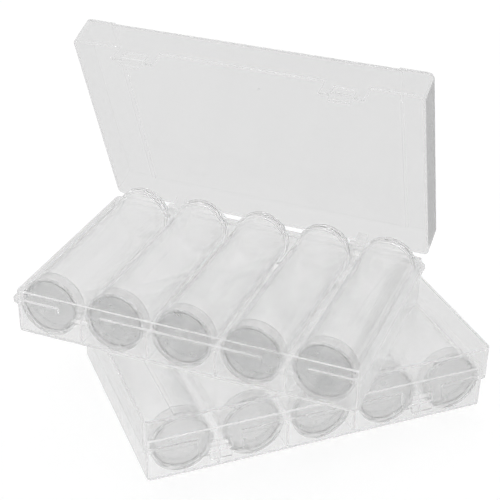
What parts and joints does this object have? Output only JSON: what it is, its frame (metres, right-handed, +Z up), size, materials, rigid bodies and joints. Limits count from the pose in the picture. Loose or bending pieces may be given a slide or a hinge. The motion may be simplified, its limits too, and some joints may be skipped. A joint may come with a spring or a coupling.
{
  "type": "coin tube set",
  "caption": "Clear round coin tubes with push-on caps, lying side by side in two hinged clear plastic cases, one open case standing askew on a closed one.",
  "frame": {"origin": "centre of the lower case's flat underside", "axes": "+Z up; +X along the open upper case's front, left to right; +Y from its front to its hinge"},
  "size_m": [0.2359, 0.2158, 0.1804],
  "materials": {
    "case_plastic": "clear moulded",
    "tube_plastic": "clear moulded",
    "cap_plastic": "clear moulded"
  },
  "bodies": {
    "lower_tray": {"lower_tray": "case_plastic"},
    "lower_lid": {"lower_lid": "case_plastic"},
    "lower_tube_1": {"lower_tube_1": "tube_plastic"},
    "lower_cap_1": {"lower_cap_1": "cap_plastic"},
    "lower_tube_2": {"lower_tube_2": "tube_plastic"},
    "lower_cap_2": {"lower_cap_2": "cap_plastic"},
    "lower_tube_3": {"lower_tube_3": "tube_plastic"},
    "lower_cap_3": {"lower_cap_3": "cap_plastic"},
    "lower_tube_4": {"lower_tube_4": "tube_plastic"},
    "lower_cap_4": {"lower_cap_4": "cap_plastic"},
    "lower_tube_5": {"lower_tube_5": "tube_plastic"},
    "lower_cap_5": {"lower_cap_5": "cap_plastic"},
    "upper_tray": {"upper_tray": "case_plastic"},
    "upper_lid": {"upper_lid": "case_plastic"},
    "upper_tube_1": {"upper_tube_1": "tube_plastic"},
    "upper_cap_1": {"upper_cap_1": "cap_plastic"},
    "upper_tube_2": {"upper_tube_2": "tube_plastic"},
    "upper_cap_2": {"upper_cap_2": "cap_plastic"},
    "upper_tube_3": {"upper_tube_3": "tube_plastic"},
    "upper_cap_3": {"upper_cap_3": "cap_plastic"},
    "upper_tube_4": {"upper_tube_4": "tube_plastic"},
    "upper_cap_4": {"upper_cap_4": "cap_plastic"},
    "upper_tube_5": {"upper_tube_5": "tube_plastic"},
    "upper_cap_5": {"upper_cap_5": "cap_plastic"}
  },
  "joints": [
    {"name": "upper_case_lift", "type": "slide", "parent": "lower_tray", "child": "upper_tray", "axis": [0, 0, 1], "range_m": [0, 0.256]},
    {"name": "lower_lid_hinge", "type": "hinge", "parent": "lower_tray", "child": "lower_lid", "pos_m": [-0.04394, 0.04762, 0.0196], "axis": [-0.7349, -0.6782, 0], "range_deg": [0, 105]},
    {"name": "upper_lid_hinge", "type": "hinge", "parent": "upper_tray", "child": "upper_lid", "pos_m": [-0.0307, 0.0609, 0.0576], "axis": [-1, 0, 0], "range_deg": [-67.6, 37.4]},
    {"name": "lower_tube_1_turn", "type": "hinge", "parent": "lower_tray", "child": "lower_tube_1", "pos_m": [-0.05497, -0.05073, 0.0181], "axis": [0.6782, -0.7349, 0], "continuous": true},
    {"name": "lower_cap_1_turn", "type": "hinge", "parent": "lower_tube_1", "child": "lower_cap_1", "pos_m": [-0.05497, -0.05073, 0.0181], "axis": [0.6782, -0.7349, 0], "continuous": true},
    {"name": "upper_tube_1_lift", "type": "slide", "parent": "upper_tray", "child": "upper_tube_1", "axis": [0, 0, 1], "range_m": [0, 0.025]},
    {"name": "upper_cap_1_turn", "type": "hinge", "parent": "upper_tube_1", "child": "upper_cap_1", "pos_m": [-0.1055, -0.0039, 0.0561], "axis": [0, -1, 0], "continuous": true},
    {"name": "lower_tube_2_turn", "type": "hinge", "parent": "lower_tray", "child": "lower_tube_2", "pos_m": [-0.02749, -0.02536, 0.0181], "axis": [0.6782, -0.7349, 0], "continuous": true},
    {"name": "lower_cap_2_turn", "type": "hinge", "parent": "lower_tube_2", "child": "lower_cap_2", "pos_m": [-0.02749, -0.02536, 0.0181], "axis": [0.6782, -0.7349, 0], "continuous": true},
    {"name": "upper_tube_2_lift", "type": "slide", "parent": "upper_tray", "child": "upper_tube_2", "axis": [0, 0, 1], "range_m": [0, 0.025]},
    {"name": "upper_cap_2_turn", "type": "hinge", "parent": "upper_tube_2", "child": "upper_cap_2", "pos_m": [-0.0681, -0.0039, 0.0561], "axis": [0, -1, 0], "continuous": true},
    {"name": "lower_tube_3_turn", "type": "hinge", "parent": "lower_tray", "child": "lower_tube_3", "pos_m": [0, 0, 0.0181], "axis": [0.6782, -0.7349, 0], "continuous": true},
    {"name": "lower_cap_3_turn", "type": "hinge", "parent": "lower_tube_3", "child": "lower_cap_3", "pos_m": [0, 0, 0.0181], "axis": [0.6782, -0.7349, 0], "continuous": true},
    {"name": "upper_tube_3_lift", "type": "slide", "parent": "upper_tray", "child": "upper_tube_3", "axis": [0, 0, 1], "range_m": [0, 0.025]},
    {"name": "upper_cap_3_turn", "type": "hinge", "parent": "upper_tube_3", "child": "upper_cap_3", "pos_m": [-0.0307, -0.0039, 0.0561], "axis": [0, -1, 0], "continuous": true},
    {"name": "lower_tube_4_turn", "type": "hinge", "parent": "lower_tray", "child": "lower_tube_4", "pos_m": [0.02749, 0.02536, 0.0181], "axis": [0.6782, -0.7349, 0], "continuous": true},
    {"name": "lower_cap_4_turn", "type": "hinge", "parent": "lower_tube_4", "child": "lower_cap_4", "pos_m": [0.02749, 0.02536, 0.0181], "axis": [0.6782, -0.7349, 0], "continuous": true},
    {"name": "upper_tube_4_lift", "type": "slide", "parent": "upper_tray", "child": "upper_tube_4", "axis": [0, 0, 1], "range_m": [0, 0.025]},
    {"name": "upper_cap_4_turn", "type": "hinge", "parent": "upper_tube_4", "child": "upper_cap_4", "pos_m": [0.0067, -0.0039, 0.0561], "axis": [0, -1, 0], "continuous": true},
    {"name": "lower_tube_5_turn", "type": "hinge", "parent": "lower_tray", "child": "lower_tube_5", "pos_m": [0.05497, 0.05073, 0.0181], "axis": [0.6782, -0.7349, 0], "continuous": true},
    {"name": "lower_cap_5_turn", "type": "hinge", "parent": "lower_tube_5", "child": "lower_cap_5", "pos_m": [0.05497, 0.05073, 0.0181], "axis": [0.6782, -0.7349, 0], "continuous": true},
    {"name": "upper_tube_5_lift", "type": "slide", "parent": "upper_tray", "child": "upper_tube_5", "axis": [0, 0, 1], "range_m": [0, 0.025]},
    {"name": "upper_cap_5_turn", "type": "hinge", "parent": "upper_tube_5", "child": "upper_cap_5", "pos_m": [0.0441, -0.0039, 0.0561], "axis": [0, -1, 0], "continuous": true}
  ],
  "couplings": [
    {"joint": "lower_lid_hinge", "follows": "upper_case_lift", "rad_per_m": 7.1429}
  ]
}
